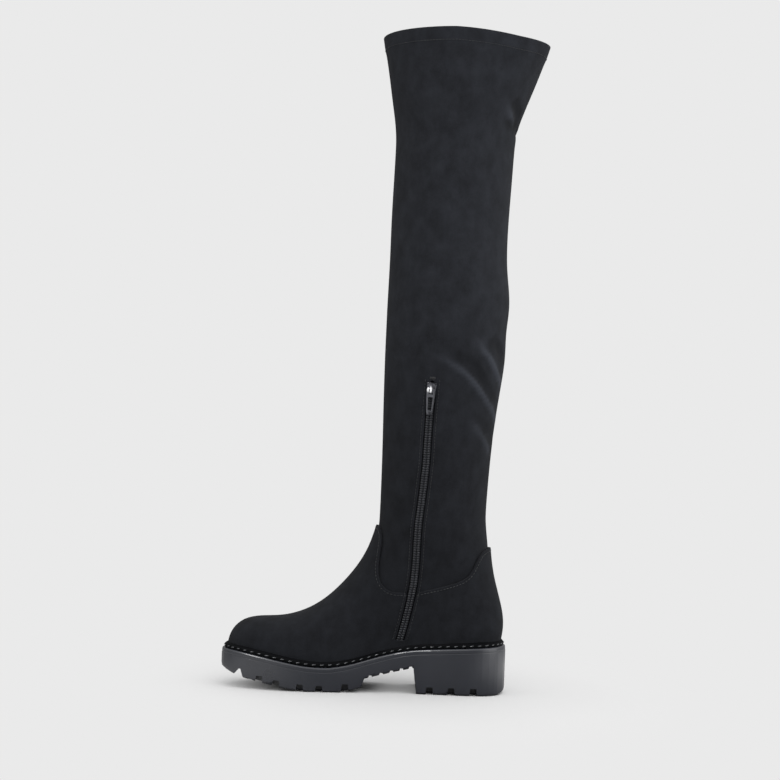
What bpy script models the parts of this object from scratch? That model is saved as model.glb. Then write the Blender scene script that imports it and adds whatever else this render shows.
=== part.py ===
"""Flat over-the-knee boot for the right foot, standing empty on its lugged sole.

The toe points to -X, the zip side of the leg faces -Y and +Z is up. Lengths in the tables are
millimetres from the tip of the sole and from the floor, and MM turns them into metres.
"""
import math
from collections import namedtuple

import bmesh
import bpy
from mathutils import Matrix, Vector

MM = 0.001

SOLE_LENGTH = 270.0
OVERALL_LENGTH = 292.1
MIDDLE_X = OVERALL_LENGTH / 2
TOE_IN = 6.0
BALL_MEDIAL_AT = 84.0
BALL_LATERAL_AT = 102.0
BALL_HALF = 48.5
WAIST_AT = 172.0
WAIST_MEDIAL = 36.5
WAIST_LATERAL = 37.5
HEEL_AT = 236.0
HEEL_HALF = 37.5
TOE_SQUARENESS = 2.25

LIP_HEIGHT = 3.8
LIP_BACK = 0.4
LIP_ROUND = 1.6
LINE_DEPTH = 0.7
SOLE_EDGE_ROUND = 2.6
WELT_TOE = 7.6
WELT_RISE = 4.8
WELT_BACK = 1.8
WELT_EDGE = 2.6
WELT_CLEAR = 1.0
GAP = 0.3
FEATHER_RISE = 1.0

UPPER_WALL = 2.0
SHAFT_WALL = 1.4
HEM_DEPTH = 13.5
HEM_STEP = 0.7
SHAFT_TOP = 620.6
COLLAR_DIP_FRONT = 1.2
COLLAR_DIP_BACK = 4.0
INSOLE_THICK = 3.0
INSOLE_INSET = 12.2

ZIP_TOP = 287.0
ZIP_SLOT_TOP = 296.0
ZIP_SLOT = 8.8
ZIP_TAPE = 18.0
SLIDER_AT = 288.5
PULL_LENGTH = 24.4

GROOVE_WIDTH = 7.4
GROOVE_ROOF = 5.6
OUTER_GROOVE_SHIFT = 8.5
GROOVE_REACH = 14.0
RIB_WIDTH = 3.8
RIB_DEPTH = 2.0
PAST_MOUTH = 3.0
CHANNEL_WIDTH = 5.0
CHANNEL_DEPTH = 4.6

# Lip edge and underside of the sole along its length
Level = namedtuple("Level", "x height")
LIP_LINE = (
    Level(0, 35.6), Level(20, 34.1), Level(41, 30.7), Level(60, 27.0), Level(80, 23.8),
    Level(101, 22.8), Level(122, 26.2), Level(142, 32.0), Level(161, 37.2), Level(180, 41.0),
    Level(207, 42.9), Level(240, 44.8), Level(270, 46.2),
)
UNDERSIDE = (
    Level(0, 16.8), Level(14, 12.0), Level(26, 9.2), Level(38, 7.0), Level(51, 4.5), Level(64, 2.0),
    Level(76, 0.0), Level(112, 0.0), Level(120, 0.9), Level(127, 2.4), Level(134, 4.6),
    Level(137.2, 13.2), Level(160, 19.0), Level(182.4, 24.4), Level(185.6, 0.0), Level(262, 0.0),
    Level(266, 0.4), Level(268.6, 1.4), Level(270, 2.6),
)

# Level cuts through leg, ankle and heel at the face that the shaft and the upper share
LegCut = namedtuple("LegCut", "height front back half squareness")
LEG = (
    LegCut(38, 44, 261.2, 29.6, 3.7),
    LegCut(50, 48, 262.6, 31.0, 3.7),
    LegCut(60, 56, 264.2, 32.2, 3.5),
    LegCut(69, 79, 264.5, 33.0, 3.1),
    LegCut(78, 95.2, 263.2, 33.8, 2.75),
    LegCut(88, 106.4, 260.6, 34.6, 2.5),
    LegCut(98, 115.6, 257.8, 35.8, 2.3),
    LegCut(110, 126.0, 254.4, 37.3, 2.2),
    LegCut(124, 135.2, 251.6, 39.0, 2.2),
    LegCut(138, 141.0, 249.9, 40.7, 2.15),
    LegCut(152, 144.8, 248.0, 42.2, 2.1),
    LegCut(168, 145.7, 246.4, 43.2, 2.1),
    LegCut(195, 145.9, 247.2, 44.0, 2.1),
    LegCut(231, 145.8, 249.5, 46.5, 2.1),
    LegCut(270, 145.3, 253.6, 50.5, 2.1),
    LegCut(300, 145.1, 257.7, 53.9, 2.1),
    LegCut(321, 145.1, 260.1, 55.7, 2.1),
    LegCut(343, 145.5, 259.2, 56.9, 2.1),
    LegCut(359, 145.6, 261.6, 57.3, 2.1),
    LegCut(375, 145.8, 262.0, 57.5, 2.1),
    LegCut(394, 146.1, 259.6, 57.2, 2.1),
    LegCut(412, 146.4, 257.5, 56.7, 2.1),
    LegCut(447, 146.6, 257.4, 56.0, 2.1),
    LegCut(490, 147.5, 259.9, 56.2, 2.1),
    LegCut(522, 148.3, 261.0, 56.6, 2.1),
    LegCut(540, 146.8, 264.2, 57.6, 2.1),
    LegCut(562, 143.0, 271.7, 59.0, 2.1),
    LegCut(588, 139.0, 281.3, 60.6, 2.1),
    LegCut(620, 133.4, 291.6, 62.0, 2.1),
)

# Top line of the forefoot from the toe to the instep
TOP_LINE = (
    Level(37, 63.8), Level(50, 62.7), Level(60, 62.6), Level(74, 65.6), Level(90, 73.6),
    Level(105, 86.0), Level(120, 101.3), Level(136, 124.8), Level(150, 149.2),
)
TOE_START = 7.6
TOE_LENGTH = 30.0
WIDEST_RISE = 9.0
TUCK_UNDER = 0.035
WAIST_TUCK = 7.5

# Top edge of the upper, by the angle round the ankle from the front
Seam = namedtuple("Seam", "angle height")
SEAM_LINE = (
    Seam(0, 155.0), Seam(16, 154.6), Seam(25, 152.0), Seam(31, 146.0), Seam(33.5, 136.0),
    Seam(34.6, 123.0), Seam(37.4, 110.5), Seam(43.0, 100.6), Seam(52, 95.4), Seam(66, 95.0),
    Seam(82, 95.6), Seam(97, 97.3), Seam(122, 102.0), Seam(143, 108.6), Seam(149, 116.0),
    Seam(152.5, 127.0), Seam(157, 134.0), Seam(165, 136.8), Seam(180, 137.6),
)
ANKLE_X = 185.0

# Middle of the zip on the inner side of the leg
ZipPoint = namedtuple("ZipPoint", "height x")
ZIP_LINE = (
    ZipPoint(38, 165.0), ZipPoint(47, 167.7), ZipPoint(66, 172.6), ZipPoint(85, 176.6),
    ZipPoint(103, 179.7), ZipPoint(122, 181.1), ZipPoint(141, 181.4), ZipPoint(160, 182.0),
    ZipPoint(178, 183.9), ZipPoint(216, 187.2), ZipPoint(245, 187.9), ZipPoint(270, 188.9),
    ZipPoint(300, 190.4),
)

# Grooves between the lugs, a wide notch first, and ribs under the waist
Groove = namedtuple("Groove", "mouth_x mouth_width roof_x roof_width roof")
LUG_GROOVES = (
    Groove(17.5, 9.8, 19.4, 1.5, 18.3), Groove(37.8, GROOVE_WIDTH, 38.6, GROOVE_ROOF, 13.0),
    Groove(54.0, GROOVE_WIDTH, 54.4, GROOVE_ROOF, 9.8),
    Groove(76.5, GROOVE_WIDTH, 76.7, GROOVE_ROOF, 7.0),
    Groove(94.6, GROOVE_WIDTH, 94.6, GROOVE_ROOF, 6.1),
    Groove(118.9, GROOVE_WIDTH, 118.7, GROOVE_ROOF, 8.2),
    Groove(198.1, GROOVE_WIDTH, 198.1, GROOVE_ROOF, 7.1),
    Groove(218.4, GROOVE_WIDTH, 218.4, GROOVE_ROOF, 7.1),
    Groove(239.2, GROOVE_WIDTH, 239.2, GROOVE_ROOF, 7.1),
)
WAIST_RIBS = (142.2, 152.4, 162.0, 171.4, 179.9)

# Where rays into the foot start, inside the heel end of the footbed
HEART = Vector((180.0, 0.0, 50.0))


def along(table, at):
    """Smooth reading of a table between its rows, by its first column."""
    if at <= table[0][0]:
        return table[0]
    if at >= table[-1][0]:
        return table[-1]
    i = next(k for k in range(1, len(table)) if at <= table[k][0]) - 1
    low, high = table[i], table[i + 1]
    before = table[max(i - 1, 0)]
    after = table[min(i + 2, len(table) - 1)]
    span = high[0] - low[0]
    t = (at - low[0]) / span
    values = [at]
    for k in range(1, len(low)):
        slope_low = (high[k] - before[k]) / (high[0] - before[0]) * span
        slope_high = (after[k] - low[k]) / (after[0] - low[0]) * span
        if (high[k] - low[k]) * slope_low <= 0:
            slope_low = 0.0
        if (high[k] - low[k]) * slope_high <= 0:
            slope_high = 0.0
        values.append(
            low[k] * (1 + 2 * t) * (1 - t) ** 2 + slope_low * t * (1 - t) ** 2
            + high[k] * t * t * (3 - 2 * t) + slope_high * t * t * (t - 1)
        )
    return type(low)(*values)


def straight(table, at):
    """Straight reading of a table between its rows."""
    for low, high in zip(table, table[1:]):
        if at <= high[0]:
            t = (at - low[0]) / (high[0] - low[0])
            return low[1] + (high[1] - low[1]) * t
    return table[-1][1]


def ease(t):
    t = min(max(t, 0.0), 1.0)
    return t * t * (3 - 2 * t)


def lip_z(x):
    return along(LIP_LINE, min(max(x, 0.0), SOLE_LENGTH)).height


def sole_axis(x):
    """Sideways bow of the sole's middle line towards the inner side at the toe."""
    return -TOE_IN * max(0.0, 1 - x / BALL_LATERAL_AT) ** 1.6


def sole_half(x, side):
    """Half width of the sole at x on the inner (-1) or the outer (1) side."""
    ball_at = BALL_MEDIAL_AT if side < 0 else BALL_LATERAL_AT
    waist = WAIST_MEDIAL if side < 0 else WAIST_LATERAL
    if x < ball_at:
        reach = 1 - max(x, 0.0) / ball_at
        return BALL_HALF * max(0.0, 1 - reach ** TOE_SQUARENESS) ** (1 / 2.15)
    if x < WAIST_AT:
        return BALL_HALF + (waist - BALL_HALF) * ease((x - ball_at) / (WAIST_AT - ball_at))
    if x < HEEL_AT:
        return waist + (HEEL_HALF - waist) * ease((x - WAIST_AT) / (HEEL_AT - WAIST_AT))
    reach = (min(x, SOLE_LENGTH) - HEEL_AT) / (SOLE_LENGTH - HEEL_AT)
    return HEEL_HALF * max(0.0, 1 - reach ** 2.2) ** (1 / 2.2)


def sole_stations(extra):
    """Places along the sole, closer together at its rounded ends."""
    places = [0.0, SOLE_LENGTH]
    places += [52 * (1 - math.cos(math.pi / 2 * k / 9)) for k in range(1, 10)]
    places += [52 + 8.6 * k for k in range(1, 21)]
    places += [SOLE_LENGTH - 46 * (1 - math.cos(math.pi / 2 * k / 9)) for k in range(1, 9)]
    places = [p for p in places if all(abs(p - q) > 2.4 for q in extra)]
    return sorted(places + list(extra))


def sole_outline(stations, inset):
    """Pairs of inner and outer edge points, one pair a station, moved in by inset."""
    def edge(x, side):
        return Vector((x, sole_axis(x) + side * sole_half(x, side)))

    pairs = []
    for i, x in enumerate(stations):
        pair = []
        for side in (-1, 1):
            here = edge(x, side)
            if i == 0:
                pair.append(here + Vector((inset, 0)))
                continue
            if i == len(stations) - 1:
                pair.append(here - Vector((inset, 0)))
                continue
            run = edge(min(x + 0.4, SOLE_LENGTH), side) - edge(max(x - 0.4, 0.0), side)
            inward = Vector((run.y, -run.x)) * side
            pair.append(here + inward.normalized() * inset)
        pairs.append(pair)
    return pairs


def leg_depth(p):
    """Distance outside the level cuts of leg and heel, less than nought inside."""
    cut = along(LEG, p.z)
    half_length = (cut.back - cut.front) / 2
    u = abs(p.x - (cut.back + cut.front) / 2) / half_length
    v = abs(p.y) / cut.half
    n = cut.squareness
    reach = max((u ** n + v ** n) ** (1 / n), 1e-6)
    steep = math.hypot((u / reach) ** (n - 1) / half_length, (v / reach) ** (n - 1) / cut.half)
    return (reach - 1) / steep


def top_z(x):
    if x < TOE_START + TOE_LENGTH:
        start = lip_z(TOE_START) + 1
        reach = 1 - max(x - TOE_START, 0.0) / TOE_LENGTH
        return start + (TOP_LINE[0].height - start) * (1 - reach ** 2.3) ** (1 / 2.3)
    return along(TOP_LINE, x).height


def forefoot_depth(p):
    """Distance outside the arched cuts of the forefoot, whose width follows the sole."""
    if p.x <= TOE_START:
        return 20.0 + TOE_START - p.x
    side = -1 if p.y < sole_axis(p.x) else 1
    stretch = SOLE_LENGTH / (SOLE_LENGTH - 2 * TOE_START)
    plan_x = (p.x - TOE_START) * stretch
    half = sole_half(plan_x, side) * (1 - WELT_TOE / BALL_HALF) - WAIST_TUCK * ease((p.x - 110) / 40)
    half = max(half, 0.01)
    v = abs(p.y - sole_axis(p.x)) / half
    floor = lip_z(p.x)
    widest = floor + min(WIDEST_RISE, 0.4 * (top_z(p.x) - floor))
    if p.z < widest:
        tuck = TUCK_UNDER * ((widest - p.z) / (widest - floor)) ** 2
        return (v - 1 + tuck) * half
    rise = max(top_z(p.x) - widest, 0.01)
    u = (p.z - widest) / rise
    n = 2.3
    reach = max((u ** n + v ** n) ** (1 / n), 1e-6)
    steep = math.hypot((u / reach) ** (n - 1) / rise, (v / reach) ** (n - 1) / half)
    return (reach - 1) / steep


def form_depth(p):
    """Leg and forefoot as one soft form."""
    leg = leg_depth(p)
    if p.x > 150:
        return leg
    foot = forefoot_depth(p)
    soft = 7.0
    mix = max(soft - abs(leg - foot), 0.0) / soft
    return min(leg, foot) - mix * mix * soft / 4 + 0.6 * mix * mix


def surface(start, direction, far=320.0):
    """Point where a ray from inside leaves the form."""
    near = 0.0
    for _ in range(26):
        middle = (near + far) / 2
        if form_depth(start + direction * middle) < 0:
            near = middle
        else:
            far = middle
    return start + direction * near


def side_surface(x, z):
    """Point of the form on the inner side of the leg at x and z."""
    return surface(Vector((x, 0.0, z)), Vector((0.0, -1.0, 0.0)), 100.0)


def outward(point):
    """Direction square to the form at a point of it."""
    h = 0.5
    slope = [
        form_depth(point + Vector([h if k == a else 0.0 for k in range(3)]))
        - form_depth(point - Vector([h if k == a else 0.0 for k in range(3)])) for a in range(3)
    ]
    return Vector(slope).normalized()


def place(p):
    return Vector(((p[0] - MIDDLE_X) * MM, p[1] * MM, p[2] * MM))


def turn(angle, tilt):
    """Direction from the heart, with the angle round from the toe towards the outer side."""
    return Vector((-math.cos(angle) * math.cos(tilt), math.sin(angle) * math.cos(tilt), math.sin(tilt)))


def bearing(point):
    d = point - HEART
    return math.atan2(d.y, -d.x), math.atan2(d.z, math.hypot(d.x, d.y))


def feather_point(angle):
    """Point of the form just over the sole in one direction from the heart."""
    low, high = math.radians(-35), math.radians(10)
    for _ in range(22):
        tilt = (low + high) / 2
        point = surface(HEART, turn(angle, tilt))
        if point.z < lip_z(point.x) + FEATHER_RISE:
            low = tilt
        else:
            high = tilt
    return surface(HEART, turn(angle, high))


def seam_point(angle):
    """Point of the upper's top edge, by degrees from the front, less than nought on the inner side."""
    height = along(SEAM_LINE, abs(angle)).height
    start = Vector((ANKLE_X, 0.0, height))
    return surface(start, turn(math.radians(angle), 0.0))


def spread(points, count, crowd=1.0):
    """Count points along a run of points, crowded towards its start."""
    lengths = [0.0]
    for a, b in zip(points, points[1:]):
        lengths.append(lengths[-1] + (b - a).length)
    result = []
    k = 0
    for i in range(count):
        want = lengths[-1] * (i / (count - 1)) ** crowd
        while k < len(points) - 2 and lengths[k + 1] < want:
            k += 1
        t = (want - lengths[k]) / max(lengths[k + 1] - lengths[k], 1e-9)
        result.append(points[k].lerp(points[k + 1], t))
    return result


def new_object(name, bm, material, group, smooth_angle=None, closed=True):
    mesh = bpy.data.meshes.new(name)
    if closed:
        bmesh.ops.recalc_face_normals(bm, faces=bm.faces)
    bm.to_mesh(mesh)
    bm.free()
    piece = bpy.data.objects.new(name, mesh)
    group.objects.link(piece)
    if material:
        mesh.materials.append(material)
    if smooth_angle is not None:
        mesh.shade_smooth()
        mesh.set_sharp_from_angle(angle=math.radians(smooth_angle))
    return piece


def material_named(name, color, roughness, metallic=0.0):
    material = bpy.data.materials.new(name)
    material.use_nodes = True
    shader = material.node_tree.nodes["Principled BSDF"]
    shader.inputs["Base Color"].default_value = (*color, 1.0)
    shader.inputs["Roughness"].default_value = roughness
    shader.inputs["Metallic"].default_value = metallic
    return material


def skin(bm, rows, closed):
    """Faces between rows of vertices, round the row when closed."""
    count = len(rows[0])
    for low, high in zip(rows, rows[1:]):
        for i in range(count if closed else count - 1):
            j = (i + 1) % count
            bm.faces.new((low[i], low[j], high[j], high[i]))


for old in list(bpy.data.objects):
    bpy.data.objects.remove(old, do_unlink=True)
boot = bpy.data.collections.new("flat_boot")
cutters = bpy.data.collections.new("cutters")
bpy.context.scene.collection.children.link(boot)
bpy.context.scene.collection.children.link(cutters)
rubber = material_named("moulded_rubber", (0.030, 0.032, 0.036), 0.45)
welt_rubber = material_named("welt_rubber", (0.026, 0.028, 0.032), 0.5)
suede = material_named("foot_suede", (0.016, 0.017, 0.020), 0.95)
stretch_suede = material_named("shaft_suede", (0.024, 0.025, 0.028), 0.95)
lining = material_named("insole_textile", (0.030, 0.029, 0.028), 0.9)
zip_tape = material_named("zip_tape_and_coil", (0.060, 0.062, 0.066), 0.6)
slider_metal = material_named("slider_nickel", (0.300, 0.295, 0.290), 0.3, 1.0)
pull_metal = material_named("pull_nickel", (0.280, 0.275, 0.270), 0.3, 1.0)

# Outsole: rings of the outline from the tread up to the lip, then grooves cut across it
stations = sole_stations((112.0, 120.0, 127.0, 134.0, 137.2, 182.4, 185.6, 262.0))
bm = bmesh.new()
rings = []
for inset, from_lip, rise in (
    (SOLE_EDGE_ROUND, False, 0.0),
    (0.5, False, SOLE_EDGE_ROUND * 0.7),
    (0.0, False, SOLE_EDGE_ROUND * 1.6),
    (0.0, True, -LIP_HEIGHT - 1.2),
    (LINE_DEPTH, True, -LIP_HEIGHT - 0.4),
    (LIP_BACK * 0.5, True, -LIP_HEIGHT + 0.2),
    (LIP_BACK, True, -LIP_ROUND),
    (LIP_BACK + LIP_ROUND * 0.3, True, -LIP_ROUND * 0.3),
    (LIP_BACK + LIP_ROUND, True, 0.0),
):
    ring = []
    for x, (inner, outer) in zip(stations, sole_outline(stations, inset)):
        for q in (inner, outer):
            z = lip_z(q.x) + rise if from_lip else straight(UNDERSIDE, x) + rise
            ring.append((q.x, q.y, z))
    inner_run = ring[0::2]
    outer_run = ring[1::2]
    loop = inner_run + outer_run[-2:0:-1]
    rings.append([bm.verts.new(place(p)) for p in loop])
skin(bm, rings, True)
last = len(stations) - 1
for ring in (rings[0], rings[-1]):
    size = len(ring)
    for i in range(last):
        corners = [ring[i], ring[i + 1], ring[(size - i - 1) % size], ring[(size - i) % size]]
        corners = list(dict.fromkeys(corners))
        bm.faces.new(corners)
outsole = new_object("outsole", bm, rubber, boot, 35)


def groove_cutter(name, groove, near=-1.5 * BALL_HALF, far=1.5 * BALL_HALF):
    """Bar from y near to y far whose walls run straight from its roof past its mouth to below the tread."""
    mouth = straight(UNDERSIDE, groove.mouth_x)
    past = PAST_MOUTH / (groove.roof - mouth)
    bm = bmesh.new()
    bmesh.ops.create_cube(bm, size=1.0)
    for v in bm.verts:
        at_roof = groove.roof_x + v.co.x * groove.roof_width
        at_mouth = groove.mouth_x + v.co.x * groove.mouth_width
        y = near if v.co.y < 0 else far
        if v.co.z > 0:
            v.co = place((at_roof, y, groove.roof))
        else:
            v.co = place((at_mouth + (at_mouth - at_roof) * past, y, mouth - PAST_MOUTH))
    piece = new_object(name, bm, None, cutters)
    piece.hide_render = True
    piece.display_type = "WIRE"
    return piece


groove_cutter("toe_notch", LUG_GROOVES[0])
for k, groove in enumerate(LUG_GROOVES[1:]):
    inner_end = sole_axis(groove.mouth_x) - sole_half(groove.mouth_x, -1) + GROOVE_REACH
    groove_cutter("inner_groove_%d" % k, groove, far=inner_end)
    shifted = groove.mouth_x + OUTER_GROOVE_SHIFT
    lift = straight(UNDERSIDE, shifted) - straight(UNDERSIDE, groove.mouth_x)
    roof_x = groove.roof_x + OUTER_GROOVE_SHIFT
    outer = groove._replace(mouth_x=shifted, roof_x=roof_x, roof=groove.roof + lift)
    outer_end = sole_axis(shifted) + sole_half(shifted, 1) - GROOVE_REACH
    groove_cutter("outer_groove_%d" % k, outer, near=outer_end)
for k, x in enumerate(WAIST_RIBS):
    roof = straight(UNDERSIDE, x) + RIB_DEPTH
    groove_cutter("waist_rib_%d" % k, Groove(x, RIB_WIDTH, x, RIB_WIDTH * 0.6, roof))
for name, first, last, steps in (
    ("fore_channel", 26.0, 112.0, 10), ("heel_channel", 193.0, 246.0, 2),
):
    bm = bmesh.new()
    rows = []
    for k in range(steps + 1):
        at = first + (last - first) * k / steps
        roof = straight(UNDERSIDE, at) + CHANNEL_DEPTH
        rows.append([
            bm.verts.new(place((at, sole_axis(at) + side * CHANNEL_WIDTH / 2, z)))
            for side, z in ((-1, -8.0), (1, -8.0), (1, roof), (-1, roof))
        ])
    skin(bm, rows, True)
    bm.faces.new(rows[0])
    bm.faces.new(rows[-1])
    channel = new_object(name, bm, None, cutters)
    channel.hide_render = True
    channel.display_type = "WIRE"
cut = outsole.modifiers.new("tread", "BOOLEAN")
cut.operation = "DIFFERENCE"
cut.operand_type = "COLLECTION"
cut.collection = cutters
cut.solver = "EXACT"

# Columns of the foot from the feather line up to the seam, starting and ending at the zip's slot
FRONT_COLUMNS = 19
OUTER_COLUMNS = 29
BACK_COLUMNS = 11
zip_low = side_surface(along(ZIP_LINE, 44).x, 44.0)
zip_high = side_surface(along(ZIP_LINE, 95.5).x, 95.5)
zip_low_angle = math.degrees(bearing(zip_low)[0])
zip_high_angle = math.degrees(math.atan2(zip_high.y, ANKLE_X - zip_high.x))


def half_slot(point):
    return math.degrees((ZIP_SLOT / 2) / math.hypot(point.x - HEART.x, point.y))


def run_of(maker, first, last_angle, count):
    steps = 90
    points = [maker(first + (last_angle - first) * k / steps) for k in range(steps + 1)]
    return spread(points, count)


low_slot = half_slot(zip_low)
high_slot = half_slot(zip_high)
feather = (
    run_of(lambda a: feather_point(math.radians(a)), zip_low_angle + low_slot, 0, FRONT_COLUMNS)
    + run_of(lambda a: feather_point(math.radians(a)), 0, 180, OUTER_COLUMNS)[1:]
    + run_of(lambda a: feather_point(math.radians(a)), -180, zip_low_angle - low_slot, BACK_COLUMNS)[1:]
)
seam = (
    run_of(seam_point, zip_high_angle + high_slot, 0, FRONT_COLUMNS)
    + run_of(seam_point, 0, 180, OUTER_COLUMNS)[1:]
    + run_of(seam_point, -180, zip_high_angle - high_slot, BACK_COLUMNS)[1:]
)
FOOT_RINGS = 13
foot = []
for low, high in zip(feather, seam):
    a0, t0 = bearing(low)
    a1, t1 = bearing(high)
    if a1 - a0 > math.pi:
        a1 -= 2 * math.pi
    if a0 - a1 > math.pi:
        a1 += 2 * math.pi
    run = []
    for k in range(73):
        t = (k / 72) ** 1.7
        run.append(surface(HEART, turn(a0 + (a1 - a0) * t, t0 + (t1 - t0) * t)))
    foot.append(spread(run, FOOT_RINGS, 1.4))


def slot_edge(column, side):
    """The column of the foot along one edge of the zip's slot."""
    low, high = column[0].z, column[-1].z
    run = []
    for k in range(73):
        z = low + (high - low) * k / 72
        run.append(side_surface(along(ZIP_LINE, z).x + side * ZIP_SLOT / 2, z))
    return spread(run, FOOT_RINGS, 1.4)


foot[0] = slot_edge(foot[0], -1)
foot[-1] = slot_edge(foot[-1], 1)

# Upper: the foot's columns as an open wall, given its thickness outwards
bm = bmesh.new()
columns = [[bm.verts.new(place(p + outward(p) * (GAP + 0.2))) for p in column] for column in foot]
for left, right in zip(columns, columns[1:]):
    for k in range(FOOT_RINGS - 1):
        bm.faces.new((left[k], left[k + 1], right[k + 1], right[k]))
upper = new_object("upper", bm, suede, boot, 50, False)
wall = upper.modifiers.new("wall", "SOLIDIFY")
wall.thickness = UPPER_WALL * MM
wall.offset = 1.0
wall.use_even_offset = True

# Shaft: rings of the leg from the lap inside the upper to the hem, open along the zip
SHAFT_COLUMNS = 34
levels = [166, 178, 195, 215, 240, 268, ZIP_SLOT_TOP, 318, 342, 360, 376, 394, 412, 445, 480, 514,
          528, 542, 562, 585, SHAFT_TOP - HEM_DEPTH - 1, SHAFT_TOP - HEM_DEPTH, SHAFT_TOP]
lap_steps = 5
bm = bmesh.new()
rows = []
for step in range(lap_steps + len(levels)):
    ring = []
    for k in range(SHAFT_COLUMNS + 1):
        height = levels[max(step - lap_steps, 0)]
        for _ in range(3):
            cut_here = along(LEG, height)
            middle = (cut_here.front + cut_here.back) / 2
            at_zip = side_surface(along(ZIP_LINE, min(height, 300.0)).x, height)
            start = math.atan2(at_zip.y, middle - at_zip.x)
            slot = (ZIP_SLOT / 2) / math.hypot(at_zip.x - middle, at_zip.y)
            angle = start + slot + (2 * math.pi - 2 * slot) * k / SHAFT_COLUMNS
            if step >= lap_steps:
                break
            around = abs(math.degrees(math.atan2(math.sin(angle), math.cos(angle))))
            foot_edge = 86.0 + 50 * ease((38 - around) / 30) + 42 * ease((around - 140) / 40)
            height = foot_edge + (levels[0] - foot_edge) * step / lap_steps
        point = surface(Vector((middle, 0.0, height)), turn(angle, 0.0))
        if height >= SHAFT_TOP - HEM_DEPTH:
            point = point + (point - Vector((middle, 0.0, height))).normalized() * HEM_STEP
        dip = COLLAR_DIP_FRONT if math.cos(angle) > 0 else COLLAR_DIP_BACK
        point.z -= dip * math.cos(angle) ** 2 * ease((height - 540) / 66)
        ring.append(bm.verts.new(place(point)))
    rows.append(ring[::-1])
skin(bm, rows, False)
for low, high in zip(rows, rows[1:]):
    if low[0].co.z >= (ZIP_SLOT_TOP - 0.01) * MM:
        bm.faces.new((low[-1], low[0], high[0], high[-1]))
shaft = new_object("shaft", bm, stretch_suede, boot, 50, False)
wall = shaft.modifiers.new("wall", "SOLIDIFY")
wall.thickness = SHAFT_WALL * MM
wall.offset = -1.0
wall.use_even_offset = True

# Welt: a bevelled strip between the upper's wall and the lip of the sole


def at_height(column, z):
    """Point of a column of the foot at one height."""
    for low, high in zip(column, column[1:]):
        if high.z >= z:
            return low.lerp(high, (z - low.z) / (high.z - low.z))
    return column[-1]


def sole_reach(point, direction):
    """Distance from a point over the sole to the sole's edge in one direction."""
    near, far = 0.0, 30.0
    for _ in range(24):
        middle = (near + far) / 2
        q = point + direction * middle
        side = -1 if q.y < sole_axis(q.x) else 1
        if 0 < q.x < SOLE_LENGTH and abs(q.y - sole_axis(q.x)) < sole_half(q.x, side):
            near = middle
        else:
            far = middle
    return near


bm = bmesh.new()
profile_rows = [[], [], [], []]
for column in foot:
    away = outward(column[0])
    flat = Vector((away.x, away.y, 0.0)).normalized()
    clear = flat * (UPPER_WALL + GAP + WELT_CLEAR)
    inner_low = column[0] + clear
    base = lip_z(inner_low.x) + GAP + 0.15
    inner_high = at_height(column, base + WELT_RISE) + clear
    outer = inner_low + flat * (sole_reach(inner_low, flat) - WELT_BACK)
    for row, point, z in (
        (0, inner_low, base), (1, inner_high, base + WELT_RISE),
        (2, outer, lip_z(outer.x) + GAP + 0.15 + WELT_EDGE), (3, outer, lip_z(outer.x) + GAP + 0.15),
    ):
        profile_rows[row].append(bm.verts.new(place((point.x, point.y, z))))
skin(bm, profile_rows + [profile_rows[0]], True)
new_object("welt", bm, welt_rubber, boot, 40)

# Insole: a board that follows the sole's line inside the upper
bm = bmesh.new()
board = sole_stations(())
board_rows = []
for rise in (GAP, GAP + INSOLE_THICK):
    pairs = sole_outline(board, INSOLE_INSET)
    loop = [pair[0] for pair in pairs] + [pair[1] for pair in pairs][-2:0:-1]
    board_rows.append([bm.verts.new(place((q.x, q.y, lip_z(q.x) + rise))) for q in loop])
skin(bm, board_rows, True)
last = len(board) - 1
for ring in board_rows:
    size = len(ring)
    for i in range(last):
        corners = [ring[i], ring[i + 1], ring[(size - i - 1) % size], ring[(size - i) % size]]
        bm.faces.new(list(dict.fromkeys(corners)))
new_object("insole", bm, lining, boot, 40)

# Zip chain: tape behind the slot with two rows of coil standing in it
PROFILE = (
    (-0.5, -1.85, False), (-0.16, -1.85, False), (-0.16, -0.5, True), (-0.09, 0.0, True),
    (0.0, -0.5, True), (0.09, 0.0, True), (0.16, -0.5, True), (0.16, -1.85, False),
    (0.5, -1.85, False), (0.5, -2.65, False), (0.0, -2.65, False), (-0.5, -2.65, False),
)
bm = bmesh.new()
rows = []
zip_foot = lip_z(along(ZIP_LINE, 46).x) + WELT_RISE + 1.8
zip_steps = 26
for k in range(zip_steps + 1):
    height = zip_foot + (ZIP_TOP - zip_foot) * k / zip_steps
    proud = 1.8 * ease((112 - height) / 20)
    row = []
    for share, depth, on_teeth in PROFILE:
        at = along(ZIP_LINE, height).x + share * ZIP_TAPE
        point = side_surface(at, height)
        row.append(bm.verts.new(place(point + outward(point) * (depth + (proud if on_teeth else 0.0)))))
    rows.append(row)
skin(bm, rows, True)
bm.faces.new(rows[0])
bm.faces.new(rows[-1])
new_object("zip_chain", bm, zip_tape, boot, 40)

# Slider: two wings held apart by a neck, with a bridge that holds the pull
here = side_surface(along(ZIP_LINE, SLIDER_AT).x, SLIDER_AT)
above = side_surface(along(ZIP_LINE, SLIDER_AT + 4).x, SLIDER_AT + 4)
below = side_surface(along(ZIP_LINE, SLIDER_AT - 4).x, SLIDER_AT - 4)
upward = (above - below).normalized()
across = upward.cross(outward(here)).normalized()
facing = across.cross(upward)
on_leg = Matrix((across, facing, upward)).transposed().to_4x4()
on_leg.translation = here


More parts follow.
